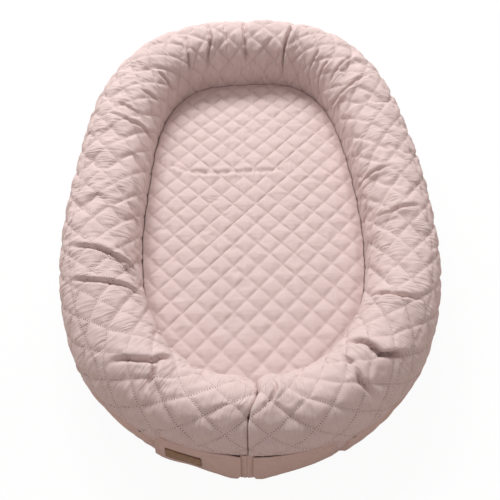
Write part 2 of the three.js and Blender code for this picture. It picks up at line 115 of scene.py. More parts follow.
def harmonics(terms, angle):
    value = terms[0] + 0 * angle
    for k in range(1, len(terms)):
        turn = (k + 1) // 2 * angle
        value = value + terms[k] * (np.cos(turn) if k % 2 else np.sin(turn))
    return 0.001 * value


def from_foot(angle):
    """How far a direction from the middle is from the foot's."""
    return np.abs(np.angle(np.exp(1j * (angle + math.pi / 2))))


def plan_radius(angle):
    c, s = np.cos(angle), np.sin(angle)
    n = np.where(s > 0, HEAD_SQUARE, FOOT_SQUARE)
    radius = (np.abs(c / HALF_WIDTH) ** n + np.abs(s / HALF_LENGTH) ** n) ** (-1 / n)
    return radius + harmonics(DRIFT, angle) * smooth(from_foot(angle), 0.30, 0.60)


# Centre line, evenly spaced along its length
MEETING = math.atan2(AXIS_Y - ARC_R * math.cos(MEETING_TURN), ARC_R * math.sin(MEETING_TURN))
plan_turn = MEETING - np.linspace(0, math.tau, 20001)
plan_xy = plan_radius(plan_turn)[:, None] * np.column_stack([np.cos(plan_turn), np.sin(plan_turn)])
plan_run = np.concatenate([[0], np.cumsum(np.linalg.norm(np.diff(plan_xy, axis=0), axis=1))])
PLAN_LENGTH = float(plan_run[-1])
STEP = (PLAN_LENGTH - 2 * END_GAP) / COLUMNS


def plan_at(s):
    return np.array([np.interp(s, plan_run, values) for values in plan_xy.T])


def centre_line(s):
    """Place, outward direction and direction from the middle at distances along the roll."""
    x, y = plan_at(s)
    tx, ty = plan_at(s + 0.001) - plan_at(s - 0.001)
    n = np.hypot(tx, ty)
    return x, y, -ty / n, tx / n, np.interp(s, plan_run, plan_turn)


# Rows of the roll's section, from the outer bottom edge over the crown to the inner one. Each is
# (kind, share or angle, inset, quilt row)
def section_rows():
    rows = [("low", q, 0.005, 3 - 3 * q) for q in np.linspace(1, 0.06, 8)]
    rows += [("low", 0.03, 0.0036, 3.0), ("arc", 0.0, 0.0014, 3.0), ("arc", 0.014, 0.0006, 3.0)]
    side = SEAM_ANGLE * np.linspace(0, 1, SIDE_ROWS * CELLS + 1)[1:]
    crown = SEAM_ANGLE + (math.pi - SEAM_ANGLE) * np.linspace(0, 1, CROWN_ROWS * CELLS + 1)[1:]
    rows += [("arc", a, 0.0, 3 + a / SEAM_ANGLE * SIDE_ROWS) for a in side]
    rows += [("arc", a, 0.0, 6 + (a - SEAM_ANGLE) / (math.pi - SEAM_ANGLE) * CROWN_ROWS) for a in crown]
    rows += [("well", q, 0.0, 11 + 3.8 * q) for q in np.linspace(0, 1, 35)[1:]]
    rows += [("floor", q, 0.0, 15.0) for q in np.linspace(0, 1, 8)[1:-1]]
    return rows


ROWS = section_rows()
QUILT_ROW = np.array([r[3] for r in ROWS])
SEAM_RUN = ROLL_R * SEAM_ANGLE
ROUND = np.where(QUILT_ROW < 6, (QUILT_ROW - 3) / 3 * SEAM_RUN, SEAM_RUN + (QUILT_ROW - 6) * 0.0246)


def roll_size(s):
    """Half widths of the roll's section: outwards, up and at the floor; and its lean at the foot."""
    angle = centre_line(s)[4]
    swell = harmonics(SWELL, angle) * smooth(from_foot(angle), 0.30, 0.65)
    foot = 1 - smooth(from_foot(angle), *BAND_FADE)
    return ROLL_R + swell, ROLL_R + 0.4 * swell, BOTTOM_HALF + FOOT_SPREAD * foot, BAND_LEAN * foot


def roll_inner(s):
    """Half width of the section towards the pad."""
    angle = centre_line(s)[4]
    return roll_size(s)[0] - 0.004 * (1 - smooth(from_foot(angle), 0.30, 0.65))


def roll_base(s, rows=ROWS):
    """Grid of points of the roll without folds: stations along s, rows as in ROWS."""
    x, y, ox, oy, _ = (v[:, None] for v in centre_line(s))
    radius, height, bottom, lean = (v[:, None] for v in roll_size(s))
    within = roll_inner(s)[:, None]
    from_end = np.minimum(s, PLAN_LENGTH - s)[:, None]
    right = (s > PLAN_LENGTH / 2)[:, None]
    share = np.minimum(from_end / np.where(right, END_LENGTH_RIGHT, END_LENGTH_LEFT), 1)
    draw = (1 - np.sqrt(1 - (1 - share) ** 2)) * np.where(right, 0.7, 1.15)
    banded = 1 - smooth(from_end, ARC_R * BAND_END - 0.012, ARC_R * BAND_END - 0.002)
    # the foot slopes back from its bands
    slope = 1 + 0.17 * (1 - smooth(from_foot(centre_line(s)[4]), 0.45, 0.95))[:, None]

    def height_at(turn, power):
        return np.full_like(x, SLIT_Z - (SLIT_Z - SEAT) * math.sin(turn) ** power)

    out, up, leans = [], [], []
    for kind, q, inset, _ in rows:
        inner = float(smooth(q, 1.2, 2.4)) if kind == "arc" else float(kind == "well")
        drawn = draw * (END_DRAW_OUTER + (END_DRAW_INNER - END_DRAW_OUTER) * inner)
        tucked = float(kind == "arc" and 1 - smooth(q, 0.08, 0.55))
        tuck = banded * np.where(right, TUCK_RIGHT, TUCK_LEFT) * tucked
        leans.append(float(smooth(q, 1.0, 2.0)) if kind == "arc" else float(kind == "well"))
        if kind == "low":
            turn, reach = q * math.pi / 2, radius - lean
            flat = np.minimum(bottom, reach)
            out.append(flat - inset * (1 + banded) + (reach - flat) * math.cos(turn) ** OUTER_POWER)
            up.append(height_at(turn, OUTER_POWER))
        elif kind == "arc":
            c, k = math.cos(q), math.sin(q)
            pull = lean + drawn * k if c > 0 else drawn
            bent = slope if c > 0 else 1.0
            out.append(((radius if c > 0 else within) - inset - pull) * np.sign(c) * abs(c) ** bent - tuck)
            up.append(SLIT_Z + (height - inset - drawn) * max(k, 0) ** bent)
        elif kind == "well":
            turn, reach = q * math.pi / 2, within - drawn
            out.append(-(BOTTOM_HALF + (reach - BOTTOM_HALF) * max(math.cos(turn), 0) ** INNER_POWER))
            up.append(height_at(turn, INNER_POWER))
        else:
            out.append(-BOTTOM_HALF + (bottom - 0.005 + BOTTOM_HALF) * q)
            up.append(np.full_like(x, SEAT + 0.0002))
    out, up = np.concatenate(out, axis=1), np.concatenate(up, axis=1)
    # the two ends lean over to one side on the way in
    lean_by = END_LEAN * np.array(leans) * (1 - smooth(from_end, 0.0, 0.09))
    grid = np.stack([x + ox * out, y + oy * out, up], axis=2)
    grid[:, :, 0] -= lean_by * oy
    grid[:, :, 1] += lean_by * ox
    return grid


def grid_normals(p, loop=True):
    """Outward unit normals of a grid of points (stations, rows, 3)."""
    du = np.gradient(p, axis=0)
    if loop:
        dv = (np.roll(p, -1, axis=1) - np.roll(p, 1, axis=1)) / 2
    else:
        dv = np.gradient(p, axis=1)
    n = np.cross(dv, du)
    return n / np.maximum(np.linalg.norm(n, axis=2, keepdims=True), 1e-12)


def new_object(name, verts, faces, material=None, body="nest"):
    mesh = bpy.data.meshes.new(name)
    mesh.from_pydata(np.asarray(verts, float).tolist(), [], faces)
    mesh.validate()
    mesh.polygons.foreach_set("use_smooth", [True] * len(mesh.polygons))
    mesh.update()
    obj = bpy.data.objects.new(name, mesh)
    bpy.context.scene.collection.objects.link(obj)
    if material:
        mesh.materials.append(material)
    if body:
        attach(obj, body)
    return obj


def put_attribute(obj, name, values):
    """Stores a vector for each vertex, for the materials."""
    attribute = obj.data.attributes.new(name, "FLOAT_VECTOR", "POINT")
    attribute.data.foreach_set("vector", np.asarray(values, np.float32).ravel())


def flat3(a, b):
    """Grid of vectors (a, b, 0)."""
    a, b = np.broadcast_arrays(a, b)
    return np.stack([a, b, 0 * a], axis=-1)


def tube_faces(columns, rows):
    """Quads of a closed-section tube with a fan on each end; two centre points follow the grid."""
    a = np.arange(columns * rows).reshape(columns, rows)[:-1]
    b = np.roll(a, -1, axis=1)
    quads = np.stack([a, b, b + rows, a + rows], axis=2).reshape(-1, 4).tolist()
    first, last = columns * rows, columns * rows + 1
    end = (columns - 1) * rows
    fans = [(first, (k + 1) % rows, k) for k in range(rows)]
    fans += [(last, end + k, end + (k + 1) % rows) for k in range(rows)]
    return quads + fans


def tube_points(grid):
    return np.concatenate([grid.reshape(-1, 3), grid[:1].mean(axis=1), grid[-1:].mean(axis=1)])


def shell(name, face, thickness, material, cloth):
    """A panel: the given grid as its outer face, a second face behind it, and closed edges. Both
    faces' edges are rounded off over their last row. cloth holds the distances along and round."""
    c, r = face.shape[:2]
    n = grid_normals(face, loop=False) * np.broadcast_to(thickness, (c, r))[:, :, None]
    edge = np.zeros((c, r, 1))
    edge[0], edge[-1], edge[:, 0], edge[:, -1] = 1, 1, 1, 1
    front, back = face - EDGE_SHARE * edge * n, face - (1 - EDGE_SHARE * edge) * n
    index = np.arange(c * r).reshape(c, r)
    a = index[:-1, :-1]
    quads = np.stack([a, a + 1, a + 1 + r, a + r], axis=2).reshape(-1, 4)
    faces = quads.tolist() + (quads[:, ::-1] + c * r).tolist()
    ring = np.concatenate([index[:, 0], index[-1, 1:], index[-2::-1, -1], index[0, -2:0:-1]]).tolist()
    faces += [(p, q, q + c * r, p + c * r) for p, q in zip(ring, ring[1:] + ring[:1])]
    obj = new_object(name, np.concatenate([front.reshape(-1, 3), back.reshape(-1, 3)]), faces, material)
    put_attribute(obj, "cloth", np.concatenate([cloth.reshape(-1, 3)] * 2))
    return obj


def cloth_relax(start, goal, faces, pin, frames, **settings):
    """Where a cloth cut as start settles when it is pushed to the goal, under pressure from inside.
    pin holds each point to its place, from 0, free, to 1, fixed."""
    obj = new_object("cloth", start, faces, body=None)
    obj.shape_key_add(name="Basis")
    key = obj.shape_key_add(name="goal")
    key.data.foreach_set("co", np.asarray(goal, np.float32).ravel())
    for value, step in ((0.0, 1), (1.0, 1 + frames // 2)):
        key.value = value
        key.keyframe_insert("value", frame=step)
    group = obj.vertex_groups.new(name="pin")
    levels = np.round(np.asarray(pin) * 50).astype(int)
    for level in np.unique(levels[levels > 0]):
        group.add(np.flatnonzero(levels == level).tolist(), float(level) / 50, "REPLACE")
    cloth = obj.modifiers.new("cloth", "CLOTH")
    cloth.settings.effector_weights.gravity = 0
    cloth.point_cache.frame_end = frames
    for name, value in {**CLOTH_SETTINGS, **settings}.items():
        setattr(cloth.settings, name, value)
    scene = bpy.context.scene
    for step in range(1, frames + 1):
        scene.frame_set(step)
    settled = obj.evaluated_get(bpy.context.evaluated_depsgraph_get())
    found = np.zeros(len(obj.data.vertices) * 3, np.float32)
    settled.data.vertices.foreach_get("co", found)
    scene.frame_set(1)
    mesh, action = obj.data, obj.data.shape_keys.animation_data.action
    bpy.data.objects.remove(obj)
    bpy.data.meshes.remove(mesh)
    bpy.data.actions.remove(action)
    return found.astype(float).reshape(-1, 3)


def refine(grid, axis):
    """Doubles a grid's points along an axis, with a smooth curve through the given ones."""
    g = np.moveaxis(grid, axis, 0)
    near = np.concatenate([g[:1], g, g[-1:]])
    made = np.empty((2 * len(g) - 1, *g.shape[1:]))
    made[::2] = g
    made[1::2] = (9 * (near[1:-2] + near[2:-1]) - near[:-3] - near[3:]) / 16
    return np.moveaxis(made, 0, axis)


def soften(grid, axes=(0, 1)):
    for axis in axes:
        g = np.moveaxis(grid, axis, 0)
        near = np.concatenate([g[:1], g, g[-1:]])
        grid = np.moveaxis((near[:-2] + 2 * near[1:-1] + near[2:]) / 4, 0, axis)
    return grid


# Camera: the photograph's, found from the pad's stitched lattice
camera = bpy.data.objects.new("camera", bpy.data.cameras.new("camera"))
bpy.context.scene.collection.objects.link(camera)
camera.data.lens, camera.data.sensor_width = 43.2, 36
camera.matrix_world = Matrix((
    (0.9997, 0.0224, -0.0104, -0.0109),
    (-0.0243, 0.8142, -0.5800, -0.6597),
    (-0.0045, 0.5801, 0.8145, 0.8311),
    (0, 0, 0, 1),
))
bpy.context.scene.camera = camera


class Nodes:
    """Short forms for building the nodes of a new material, or of the world."""

    def __init__(self, owner):
        self.owner = bpy.data.materials.new(owner) if isinstance(owner, str) else owner
        self.owner.use_nodes = True
        self.tree = self.owner.node_tree
        self.shader = self.tree.nodes.get("Principled BSDF")

    def add(self, kind, inputs=(), **settings):
        node = self.tree.nodes.new(kind)
        for key, value in settings.items():
            setattr(node, key, value)
        for key, value in dict(inputs).items():
            self.put(node.inputs[key], value)
        return node

    def put(self, socket, value):
        """Links a socket to another, or sets its value. Colours are given as three numbers."""
        if isinstance(value, bpy.types.NodeSocket):
            self.tree.links.new(value, socket)
        else:
            socket.default_value = (*value, 1) if socket.type == "RGBA" else value

    def math(self, operation, *values):
        return self.add("ShaderNodeMath", enumerate(values), operation=operation).outputs[0]

    def times(self, a, b):
        return self.math("MULTIPLY", a, b)

    def attribute(self, name):
        """A vertex attribute, and its three values."""
        vector = self.add("ShaderNodeAttribute", attribute_name=name).outputs["Vector"]
        return vector, self.add("ShaderNodeSeparateXYZ", {0: vector}).outputs

    def noise(self, vector, scale, detail=3.0, rough=0.5):
        return self.add("ShaderNodeTexNoise", {
            "Vector": vector, "Scale": scale, "Detail": detail, "Roughness": rough}).outputs["Fac"]

    def stretched(self, vector, factors):
        return self.add("ShaderNodeVectorMath", {0: vector, 1: factors}, operation="MULTIPLY").outputs[0]

    def ramp(self, value, a, b, low=0.0, high=1.0):
        node = self.add("ShaderNodeMapRange", {
            "Value": value, "From Min": a, "From Max": b, "To Min": low, "To Max": high},
            interpolation_type="SMOOTHSTEP")
        return node.outputs["Result"]

    def mix(self, factor, a, b):
        return self.add("ShaderNodeMix", {0: factor, 6: a, 7: b}, data_type="RGBA").outputs[2]

    def seen(self):
        """1 for rays of the camera, gloss and glass, 0 for the light on the object."""
        path = self.add("ShaderNodeLightPath").outputs
        bent = self.math("MAXIMUM", path["Is Glossy Ray"], path["Is Transmission Ray"])
        return self.math("MAXIMUM", path["Is Camera Ray"], bent)

    def bump(self, height, distance, strength, normal=None):
        inputs = {"Height": height, "Distance": distance, "Strength": strength}
        if normal:
            inputs["Normal"] = normal
        return self.add("ShaderNodeBump", inputs).outputs["Normal"]

    def surface(self, color, roughness, normal, even):
        """Fills in the shader; even holds what is the same all over the surface."""
        sockets = {"Base Color": color, "Roughness": roughness, "Normal": normal, **even}
        for name, value in sockets.items():
            self.put(self.shader.inputs[name], value)
        return self.owner


def stitches(n, line, along, pitch, width):
    """Masks of a stitched line: the needle holes and the thread between them. line is the distance
    from the seam and along the distance on it, both in metres."""
    gap = n.math("ABSOLUTE", line)
    beat = n.math("COSINE", n.times(along, math.tau / pitch))
    hole = n.times(n.ramp(gap, width * 1.5, width * 0.6), n.ramp(beat, 0.05, 0.75))
    return hole, n.times(n.ramp(gap, width, width * 0.4), n.ramp(beat, 0.0, -0.5))


def lattice_lines(spacing):
    """The two sets of stitched lines of a quilted piece: (attribute, axis, place, spacing)."""
    return [("lattice", axis, 0.0, spacing) for axis in (0, 1)]


def straight_line(axis, at, kind="cloth"):
    """A stitched line where an attribute's first (0) or second (1) distance has one value."""
    return kind, axis, at, None


def darker(color, red, rest):
    return color[0] * red, color[1] * rest, color[2] * rest


def cotton(name, color, deep, lines=(), pitch=0.0028, creases=None, width=0.0006, hole=0.6, thread=0.85,
           tucked=False):
    """Fine cotton: a plain weave with uneven threads, soft sheen and, where sewn, stitch lines. The
    mesh carries "cloth" (distance along, distance round, 0) and, where quilted, "lattice" (a, b, 0).
    creases is how close fine wrinkles lie along and round, and their depth. tucked adds painted shade from
    the tuck attribute: the colour darkens where the cloth is tucked in and in its deep folds, standing in
    for their shadow."""
    n = Nodes(name)
    cloth, xyz = n.attribute("cloth")
    weave = 0.00055
    warp = n.math("SINE", n.times(xyz[0], math.tau / weave))
    weft = n.math("SINE", n.times(xyz[1], math.tau / weave))
    weft_on_warp = n.times(warp, weft)
    slub_a = n.noise(n.stretched(cloth, (900, 90, 1)), 1.0, 2.0)
    slub_b = n.noise(n.stretched(cloth, (90, 900, 1)), 1.0, 2.0)
    mottle = n.noise(n.stretched(cloth, (60, 60, 1)), 1.0, 4.0, 0.6)
    cloud = n.noise(n.stretched(cloth, (7, 7, 1)), 1.0, 3.0)
    tone = n.math("ADD", n.times(slub_a, 0.35), n.times(slub_b, 0.35))
    tone = n.math("ADD", tone, n.times(mottle, 0.3))
    shade = n.mix(n.ramp(tone, 0.36, 0.64), deep, color)
    shade = n.mix(n.ramp(cloud, 0.35, 0.75, 0.0, 0.25), shade, [c * 1.06 for c in color])
    if tucked:
        # painted shade: the colour is darkened where the cloth is tucked in and in its deep folds, standing
        # in for the shadow there
        tuck = n.attribute("tuck")[1]
        shade = n.mix(n.times(tuck[0], 0.75), shade, darker(deep, 0.84, 0.76))
        shade = n.mix(tuck[1], shade, darker(deep, 0.52, 0.44))
    height = n.math("ADD", n.times(weft_on_warp, 0.25), tone)
    normal = None
    if creases:
        warped = n.times(n.noise(n.stretched(cloth, (26, 26, 1)), 1.0, 2.0), 1.3)
        warped = n.add("ShaderNodeCombineXYZ", {0: warped}).outputs[0]
        where = {0: n.stretched(cloth, (*creases[:2], 1)), 1: warped}
        where = n.add("ShaderNodeVectorMath", where, operation="ADD").outputs[0]
        wave = n.noise(where, 1.0, 2.0, 0.45)
        fold = n.math("ABSOLUTE", n.math("SUBTRACT", wave, 0.5))
        patch = n.ramp(n.noise(n.stretched(cloth, (17, 17, 1)), 1.0, 2.0), 0.35, 0.62, 0.35, 1.0)
        normal = n.bump(n.times(n.ramp(fold, 0.0, 0.16), patch), creases[2], 0.8)
    holes = threads = 0.0
    for kind, axis, at, spacing in lines:
        place = n.attribute(kind)[1]
        off, along = place[axis], place[1 - axis]
        if spacing:
            off = n.times(n.math("SUBTRACT", n.math("FRACT", n.math("ADD", off, 0.5)), 0.5), spacing)
            along = n.times(along, spacing)
        else:
            off = n.math("SUBTRACT", off, at)
        more_holes, more_threads = stitches(n, off, along, pitch, width)
        holes = n.math("MAXIMUM", holes, more_holes)
        threads = n.math("MAXIMUM", threads, more_threads)
    if lines:
        shade = n.mix(n.times(holes, hole), shade, darker(deep, 0.36, 0.28))
        shade = n.mix(n.times(threads, thread), shade, [min(0.95, c * 1.4) for c in color])
        height = n.math("SUBTRACT", height, n.times(holes, 2.0))
        height = n.math("ADD", height, n.times(threads, 0.8))
    return n.surface(shade, n.ramp(tone, 0.3, 0.7, 0.92, 0.82), n.bump(height, 0.00025, 0.6, normal), {
        "Sheen Weight": 0.12, "Sheen Roughness": 0.4, "Sheen Tint": (1, 0.94, 0.92),
        "Specular IOR Level": 0.2})


def leather():
    """Smooth brown leather with a pebbled grain, a burnished edge and small scuffs. "cloth" holds
    the distances from the label's middle, in metres."""
    n = Nodes("label_leather")
    cloth, xyz = n.attribute("cloth")
    pebble = n.add("ShaderNodeTexVoronoi", {"Vector": cloth, "Scale": 1700.0}, feature="DISTANCE_TO_EDGE")
    grain = n.ramp(pebble.outputs["Distance"], 0.0, 0.16)
    mottle = n.noise(cloth, 160.0, 4.0, 0.6)
    x = n.math("DIVIDE", n.math("ABSOLUTE", xyz[0]), LABEL_WIDTH / 2)
    y = n.math("DIVIDE", n.math("ABSOLUTE", xyz[1]), (LABEL_HIGH - LABEL_LOW) / 2)
    inside = n.times(n.math("SUBTRACT", 1.0, x), 2.0), n.math("SUBTRACT", 1.0, y)
    edge = n.ramp(n.math("MAXIMUM", *inside), 0.0, 1.0)
    burnt = n.ramp(n.math("MINIMUM", *inside), 0.16, 0.02)
    color = n.mix(n.ramp(mottle, 0.35, 0.65), (0.205, 0.090, 0.024), (0.265, 0.120, 0.034))
    color = n.mix(n.times(burnt, 0.55), color, (0.09, 0.042, 0.02))
    color = n.mix(n.times(n.math("SUBTRACT", 1.0, grain), 0.35), color, (0.10, 0.05, 0.025))
    height = n.math("ADD", n.times(grain, 0.6), n.times(mottle, 0.5))
    height = n.math("ADD", height, n.times(edge, 0.2))
    rough = n.ramp(mottle, 0.3, 0.7, 0.62, 0.48)
    return n.surface(color, rough, n.bump(height, 0.0002, 0.7), {"Specular IOR Level": 0.35})


def zip_tape():
    """Woven tape with a moulded coil along its free edge, from the object's own coordinates."""
    n = Nodes("zip_tape")
    xyz = n.add("ShaderNodeSeparateXYZ", {0: n.add("ShaderNodeTexCoord").outputs["Object"]}).outputs
    rib_pitch, cross_pitch, coil_pitch = 0.0011, 0.0008, 0.0019
    rib = n.math("SINE", n.times(xyz[0], math.tau / rib_pitch))
    cross = n.math("SINE", n.times(xyz[2], math.tau / cross_pitch))
    coil = n.ramp(n.math("ABSOLUTE", n.math("SUBTRACT", xyz[2], ZIP_Z)), 0.0026, 0.0016)
    turn = n.math("SINE", n.times(xyz[0], math.tau / coil_pitch))
    weave = n.times(rib, cross)
    color = n.mix(n.ramp(weave, -1, 1), (0.40, 0.27, 0.25), (0.47, 0.33, 0.31))
    color = n.mix(n.times(coil, n.ramp(turn, -0.6, 0.6, 0.3, 0.9)), color, (0.56, 0.41, 0.38))
    height = n.math("ADD", n.times(weave, 0.3), n.times(coil, turn))
    return n.surface(color, n.ramp(coil, 0, 1, 0.85, 0.45), n.bump(height, 0.0004, 0.8), {})


def zip_metal():
    """Satin metal: fine brushing and worn, brighter patches."""
    n = Nodes("zip_metal")
    place = n.add("ShaderNodeTexCoord").outputs["Object"]
    brushed = n.noise(n.stretched(place, (300, 300, 6000)), 1.0, 3.0, 0.6)
    worn = n.noise(place, 420.0, 4.0, 0.6)
    color = n.mix(n.ramp(worn, 0.35, 0.7), (0.44, 0.41, 0.40), (0.62, 0.60, 0.58))
    rough = n.ramp(brushed, 0.3, 0.7, 0.42, 0.28)
    return n.surface(color, rough, n.bump(brushed, 0.00006, 0.5), {"Metallic": 1.0})


def ripple(t, width):
    """Pulls cloth in along a stitched line; t is the distance from the line."""
    return np.exp(-((t / width) ** 2))


def wander(u, v, short, long, count, seed):
    """A random wavy field of unit size: waves short apart along u and long along v."""
    pick = np.random.default_rng(seed)
    total = np.zeros(np.broadcast_shapes(np.shape(u), np.shape(v)))
    for _ in range(count):
        ku = math.tau / (short * pick.uniform(0.75, 1.5)) * pick.choice((-1, 1))
        kv = math.tau / long * pick.normal()
        total += np.cos(ku * u + kv * v + pick.uniform(0, math.tau))
    return total * math.sqrt(2 / count)


def off_lattice(a, b, spacing):
    """Distance from the nearest stitched line of a lattice."""
    return spacing * np.minimum(np.abs((a + 0.5) % 1 - 0.5), np.abs((b + 0.5) % 1 - 0.5))


def crease(s, w, path, depth, width):
    """Depth of one fold over the roll's cloth. path is its places (distance along, distance round)."""
    path = np.asarray(path, float)
    found = np.full(np.broadcast_shapes(s.shape, w.shape), np.inf)
    taper, side = np.zeros(found.shape), np.zeros(found.shape)
    steps = np.linalg.norm(np.diff(path, axis=0), axis=1)
    run, total = 0.0, steps.sum()
    for (p, q), length in zip(zip(path[:-1], path[1:]), steps):
        d = (q - p) / length
        t = np.clip((s - p[0]) * d[0] + (w - p[1]) * d[1], 0, length)
        gap = np.hypot(s - p[0] - d[0] * t, w - p[1] - d[1] * t)
        near = gap < found
        found = np.where(near, gap, found)
        taper = np.where(near, np.sin(math.pi * np.clip((run + t) / total, 0.02, 0.98)) ** 0.6, taper)
        side = np.where(near, np.sign((s - p[0]) * d[1] - (w - p[1]) * d[0]), side)
        run += length
    valley = np.exp(-((found / width) ** 2))
    ridge = np.exp(-(((found - 2.1 * width) / (1.1 * width)) ** 2)) * (0.42 + 0.16 * side)
    return depth * taper * (ridge - valley)


# The photographed roll's deep folds, in mm: (places along and round, depth, width)
FOLDS = [
    ([(953.5, 78.5), (956.2, 119.5), (931.5, 174.1)], 6.0, 4.5),
    ([(906.8, 108.5), (871.1, 176.9)], 4.0, 4.5),
    ([(1024.9, 75.7), (1024.9, 176.9)], 5.5, 4.5),
    ([(986.4, 83.9), (986.4, 165.9)], 3.0, 4.0),
    ([(1118.3, 70.0), (1114.0, 130.0), (1112.8, 196.0)], 7.5, 5.0),
    ([(1195.2, 122.2), (1206.2, 176.9), (1214.4, 196.0)], 5.0, 4.5),
    ([(1233.6, 124.9), (1239.1, 160.5), (1252.9, 198.8)], 5.5, 4.5),
    ([(1255.6, 86.7), (1272.1, 155.0)], 4.0, 4.0),
    ([(1313.3, 86.7), (1327.0, 133.1), (1324.3, 168.7), (1316.0, 196.0)], 5.5, 4.5),
    ([(1538.5, 111.3), (1541.3, 179.6), (1530.3, 198.8)], 5.5, 4.5),
    ([(1620.9, 73.0), (1631.9, 127.7), (1629.2, 165.9)], 4.5, 4.5),
    ([(648.6, 89.4), (637.6, 130.4), (643.1, 187.8)], 4.5, 4.5),
    ([(678.8, 100.3), (667.8, 138.6)], 3.0, 4.0),
    ([(725.5, 124.9), (731.0, 171.4)], 3.5, 4.0),
    ([(794.2, 133.1), (794.2, 179.6)], 3.5, 4.0),
    ([(343.7, 111.3), (338.2, 138.6), (310.8, 165.9)], 4.0, 4.5),
    ([(373.9, 59.9), (363.0, 94.9), (354.7, 114.0), (343.7, 135.9), (335.5, 163.2), (302.5, 179.6)],
     5.5, 4.5),
    ([(319.0, 57.3), (302.5, 97.6), (294.3, 130.4), (286.1, 155.0), (280.6, 171.4)], 5.0, 4.5),
    ([(181.7, 70.3), (167.9, 92.1), (143.2, 114.0), (137.7, 127.7), (129.5, 144.1)], 6.0, 5.5),
    ([(137.7, 119.5), (126.7, 97.6), (126.7, 75.7)], 4.5, 5.0),
    ([(1785.7, 70.3), (1791.2, 103.1), (1791.2, 122.2), (1788.5, 171.4)], 5.0, 4.5),
    ([(1895.6, 138.6), (1887.3, 116.7), (1890.1, 89.4), (1865.4, 59.9)], 8.5, 5.5),
    ([(1928.5, 103.1), (1934.0, 78.5), (1928.5, 49.4)], 4.5, 5.0),
    ([(1925.8, 133.1), (1925.8, 105.8)], 4.5, 4.5),
    ([(2056.0, 140.0), (2050.0, 115.0), (2062.0, 88.0)], 4.5, 4.5),
]

# The roll
columns = COLUMNS * CELLS + 1
stations = np.linspace(END_GAP, PLAN_LENGTH - END_GAP, columns)
quilt_column = (stations - END_GAP) / STEP
base = roll_base(stations)
normals = grid_normals(base)
cell_a = (quilt_column[:, None] + QUILT_ROW) / 2
cell_b = (quilt_column[:, None] - QUILT_ROW) / 2
ROLL_SPACING = STEP * math.sqrt(2)
quilt_off = off_lattice(cell_a, cell_b, ROLL_SPACING)
quilted_share = smooth(QUILT_ROW, 3.0, 3.2) * (1 - smooth(QUILT_ROW, 14.2, 14.8))
from_meeting = np.minimum(stations, PLAN_LENGTH - stations)[:, None]
seam_run = ROUND - SEAM_AT + 0.05 * (1 - smooth(from_meeting, *SEAM_FADE))
# the stitched lines draw the cloth in less where it is drawn down beside the pad
pulled = quilted_share * (1 - 0.5 * smooth(QUILT_ROW, 9.6, 11.2))
broad = np.maximum(ripple(quilt_off, BROAD_WIDTH) * pulled, 0.7 * ripple(seam_run, BROAD_WIDTH))
tight = np.maximum(ripple(quilt_off, TIGHT_WIDTH) * pulled, 0.9 * ripple(seam_run, TIGHT_WIDTH))
folds, sharp = np.zeros(base.shape[:2]), np.zeros(base.shape[:2])
for path, depth, width in FOLDS:
    places = 0.001 * np.array(path)
    folds += crease(stations[:, None], ROUND, places, 0.0007 * depth, 0.001 * width)
    sharp += crease(stations[:, None], ROUND, places, 0.00105 * depth, 0.00055 * width)
# cloth gathered beside its seams: wrinkles across, closest by the seam and the pad
gathered = np.maximum(0.55 * ripple(quilt_off, 0.010), ripple(seam_run, 0.030))
gathered = np.maximum(gathered, 0.8 * smooth(ROUND, 0.135, 0.175))
foot_front = (1 - smooth(from_meeting, 0.22, 0.34)) * (1 - smooth(ROUND, 0.045, 0.080))
gathered = np.maximum(gathered, 0.8 * foot_front) * quilted_share
gathered *= 0.7 + 0.3 * np.tanh(wander(stations[:, None], ROUND, 0.07, 0.07, 24, 5))
gathers = np.abs(wander(stations[:, None], ROUND, 0.0115, 0.110, 70, 3))
gathers = (np.minimum(gathers, 1.6) - 0.75) * np.clip(gathered, 0, 1)


def hold_row(kind, q):
    """How firmly a row of the roll's cloth is held to its place."""
    if kind == "well":
        return 0.05 + 0.95 * float(smooth(q, 0.02, 0.2))
    if kind == "arc" and q >= 0.03:
        return 0.05 + 0.4 * float(1 - smooth(q, 0.03, 0.45)) + 0.15 * float(1 - smooth(q, 0.5, 1.2))
    return 1.0


def settle_roll():
    """How far the filled cloth of the roll moves from its plain form, on the fine grid. The cloth is
    cut longer than the roll, and crumples across as it is pushed to the roll's length."""
    s, rows = stations[::2], slice(None, None, 2)
    plain = roll_base(s)[:, rows]
    n = grid_normals(plain)
    drawn = (folds - BROAD_DRAW * broad)[::2, rows]
    goal = plain + n * drawn[:, :, None]
    start = goal + n * rng.normal(0, 0.0003, n.shape[:2])[:, :, None]
    x, y, _, _, angle = centre_line(s)
    longer = CLOTH_LONGER * (0.45 + 0.55 * smooth(from_foot(angle), 0.5, 1.1))
    start[:, :, 0] += (longer * x)[:, None]
    start[:, :, 1] += (longer * y)[:, None]
    hold = np.array([hold_row(kind, q) for kind, q, _, _ in ROWS[rows]])
    sewn = 0.12 * broad[::2, rows] + 0.3 * smooth(-folds[::2, rows], 0.001, 0.003)
    ends = 1 - smooth(np.minimum(s, PLAN_LENGTH - s), 0.002, 0.016)
    pin = np.maximum(np.maximum(hold[None, :], ends[:, None]), np.minimum(sewn, 0.6))
    settled = cloth_relax(tube_points(start), tube_points(goal), tube_faces(len(s), start.shape[1]),
                          np.append(pin, [1, 1]), 22, uniform_pressure_force=4.0, bending_stiffness=0.3)
    moved = settled[:-2].reshape(start.shape) - plain
    moved = 0.65 * moved + 0.35 * soften(moved)
    far = np.linalg.norm(moved, axis=2, keepdims=True)
    moved *= np.minimum(1, MOST_MOVE / np.maximum(far, 1e-9))
    return refine(refine(moved, 0), 1)


moved = settle_roll()
# it doesn't bulge out over the bands
swollen = (moved * normals).sum(axis=2)
turn = np.array([{"arc": q, "low": 0.0}.get(kind, math.pi) for kind, q, _, _ in ROWS])
most = 0.0002 + 0.0045 * smooth(turn, 0.05, 0.9) + 0.02 * (turn > 1.3)
most = most + 0.02 * smooth(from_meeting, 0.10, 0.15)
base = base + moved - normals * np.maximum(swollen - most, 0)[:, :, None]
